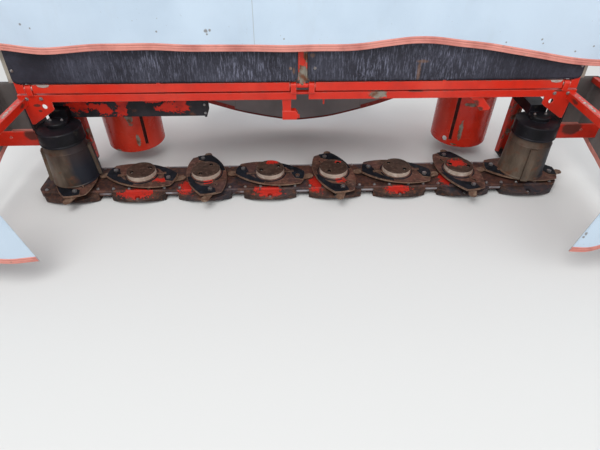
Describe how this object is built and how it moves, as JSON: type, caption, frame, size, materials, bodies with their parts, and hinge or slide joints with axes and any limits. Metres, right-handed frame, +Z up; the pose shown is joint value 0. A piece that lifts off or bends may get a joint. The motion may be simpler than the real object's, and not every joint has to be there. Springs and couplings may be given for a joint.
{
  "type": "front-mounted disc mower",
  "caption": "Front-mounted disc mower with a low cutterbar of oval discs, crop and swath drums, a raised folding front guard and canvas curtains.",
  "frame": {"origin": "on the ground under the middle of the machine's plan outline", "axes": "+X along the cutterbar to the right seen from in front, +Y from the cutting side to the hitch, +Z up"},
  "size_m": [3.5486, 2.1021, 1.3765],
  "materials": {
    "red_paint": "gloss with chips",
    "black_paint": "worn satin",
    "black_plastic": "matte",
    "bright_steel": "machined",
    "worn_steel": "rusted and crop stained",
    "drum_steel": "worn brown",
    "canvas": "coated woven fabric",
    "grey_canvas": "coated woven fabric",
    "rubber_sheet": "weathered"
  },
  "bodies": {
    "frame": {"front_beam": "red_paint", "main_tube": "red_paint", "end_struts": "red_paint", "cutterbar": "worn_steel", "skids": "worn_steel", "drum_hood_left": "black_paint", "drum_hood_right": "black_paint", "drive_housing": "black_paint", "lateral_drive": "black_paint", "gearbox": "red_paint", "pto_guard": "black_plastic", "mast": "red_paint", "link_arms": "red_paint", "springs": "black_paint", "headstock": "red_paint", "headstock_legs": "red_paint", "headstock_top": "red_paint", "drum_heads": "red_paint", "rear_frame": "red_paint", "top_cover": "canvas", "rear_curtain": "grey_canvas", "side_frame_left": "red_paint", "side_frame_right": "red_paint", "side_curtain_left": "canvas", "side_curtain_right": "canvas"},
    "pto_shaft": {"pto_stub": "bright_steel"},
    "front_guard": {"guard_frame": "red_paint", "guard_sheets": "rubber_sheet", "guard_canvas": "canvas"},
    "front_curtain": {"front_curtain": "canvas"},
    "swath_left": {"swath_drum_left": "red_paint"},
    "swath_right": {"swath_drum_right": "red_paint"},
    "stand_left": {"stand_left": "black_paint"},
    "stand_right": {"stand_right": "black_paint"},
    "cutting_disc_1": {"disc_1": "worn_steel", "outer_drum_left": "drum_steel"},
    "cutting_disc_2": {"disc_2": "worn_steel"},
    "cutting_disc_3": {"disc_3": "worn_steel"},
    "cutting_disc_4": {"disc_4": "worn_steel"},
    "cutting_disc_5": {"disc_5": "worn_steel"},
    "cutting_disc_6": {"disc_6": "worn_steel"},
    "cutting_disc_7": {"disc_7": "worn_steel"},
    "cutting_disc_8": {"disc_8": "worn_steel", "outer_drum_right": "drum_steel"}
  },
  "joints": [
    {"name": "disc_1_spin", "type": "hinge", "parent": "frame", "child": "cutting_disc_1", "pos_m": [-1.365, -0.24685, 0.1], "axis": [0, 0, 1], "continuous": true},
    {"name": "disc_2_spin", "type": "hinge", "parent": "frame", "child": "cutting_disc_2", "pos_m": [-0.975, -0.24685, 0.1], "axis": [0, 0, 1], "continuous": true},
    {"name": "disc_3_spin", "type": "hinge", "parent": "frame", "child": "cutting_disc_3", "pos_m": [-0.585, -0.24685, 0.1], "axis": [0, 0, 1], "continuous": true},
    {"name": "disc_4_spin", "type": "hinge", "parent": "frame", "child": "cutting_disc_4", "pos_m": [-0.195, -0.24685, 0.1], "axis": [0, 0, 1], "continuous": true},
    {"name": "disc_5_spin", "type": "hinge", "parent": "frame", "child": "cutting_disc_5", "pos_m": [0.195, -0.24685, 0.1], "axis": [0, 0, 1], "continuous": true},
    {"name": "disc_6_spin", "type": "hinge", "parent": "frame", "child": "cutting_disc_6", "pos_m": [0.585, -0.24685, 0.1], "axis": [0, 0, 1], "continuous": true},
    {"name": "disc_7_spin", "type": "hinge", "parent": "frame", "child": "cutting_disc_7", "pos_m": [0.975, -0.24685, 0.1], "axis": [0, 0, 1], "continuous": true},
    {"name": "disc_8_spin", "type": "hinge", "parent": "frame", "child": "cutting_disc_8", "pos_m": [1.365, -0.24685, 0.1], "axis": [0, 0, 1], "continuous": true},
    {"name": "pto_spin", "type": "hinge", "parent": "frame", "child": "pto_shaft", "pos_m": [0, 0.23315, 0.845], "axis": [0, 1, 0], "continuous": true},
    {"name": "swath_left_spin", "type": "hinge", "parent": "frame", "child": "swath_left", "pos_m": [-1.1, 0.17815, 0.33], "axis": [0, 0, 1], "continuous": true},
    {"name": "swath_right_spin", "type": "hinge", "parent": "frame", "child": "swath_right", "pos_m": [1.1, 0.17815, 0.33], "axis": [0, 0, 1], "continuous": true},
    {"name": "guard_fold", "type": "hinge", "parent": "frame", "child": "front_guard", "pos_m": [0, -0.23685, 0.64], "axis": [1, 0, 0], "range_deg": [0, 90]},
    {"name": "curtain_swing", "type": "hinge", "parent": "front_guard", "child": "front_curtain", "pos_m": [0, -0.25162, 1.36049], "axis": [1, 0, 0], "range_deg": [-90, 0]},
    {"name": "stand_left_slide", "type": "slide", "parent": "frame", "child": "stand_left", "axis": [0, 0, 1], "range_m": [0, 0.25]},
    {"name": "stand_right_slide", "type": "slide", "parent": "frame", "child": "stand_right", "axis": [0, 0, 1], "range_m": [0, 0.25]}
  ],
  "couplings": [
    {"joint": "disc_2_spin", "follows": "disc_1_spin", "ratio": -1},
    {"joint": "disc_3_spin", "follows": "disc_1_spin", "ratio": 1},
    {"joint": "disc_4_spin", "follows": "disc_1_spin", "ratio": -1},
    {"joint": "disc_5_spin", "follows": "disc_1_spin", "ratio": 1},
    {"joint": "disc_6_spin", "follows": "disc_1_spin", "ratio": -1},
    {"joint": "disc_7_spin", "follows": "disc_1_spin", "ratio": 1},
    {"joint": "disc_8_spin", "follows": "disc_1_spin", "ratio": -1},
    {"joint": "pto_spin", "follows": "disc_1_spin", "ratio": 0.3333},
    {"joint": "curtain_swing", "follows": "guard_fold", "ratio": -1}
  ]
}
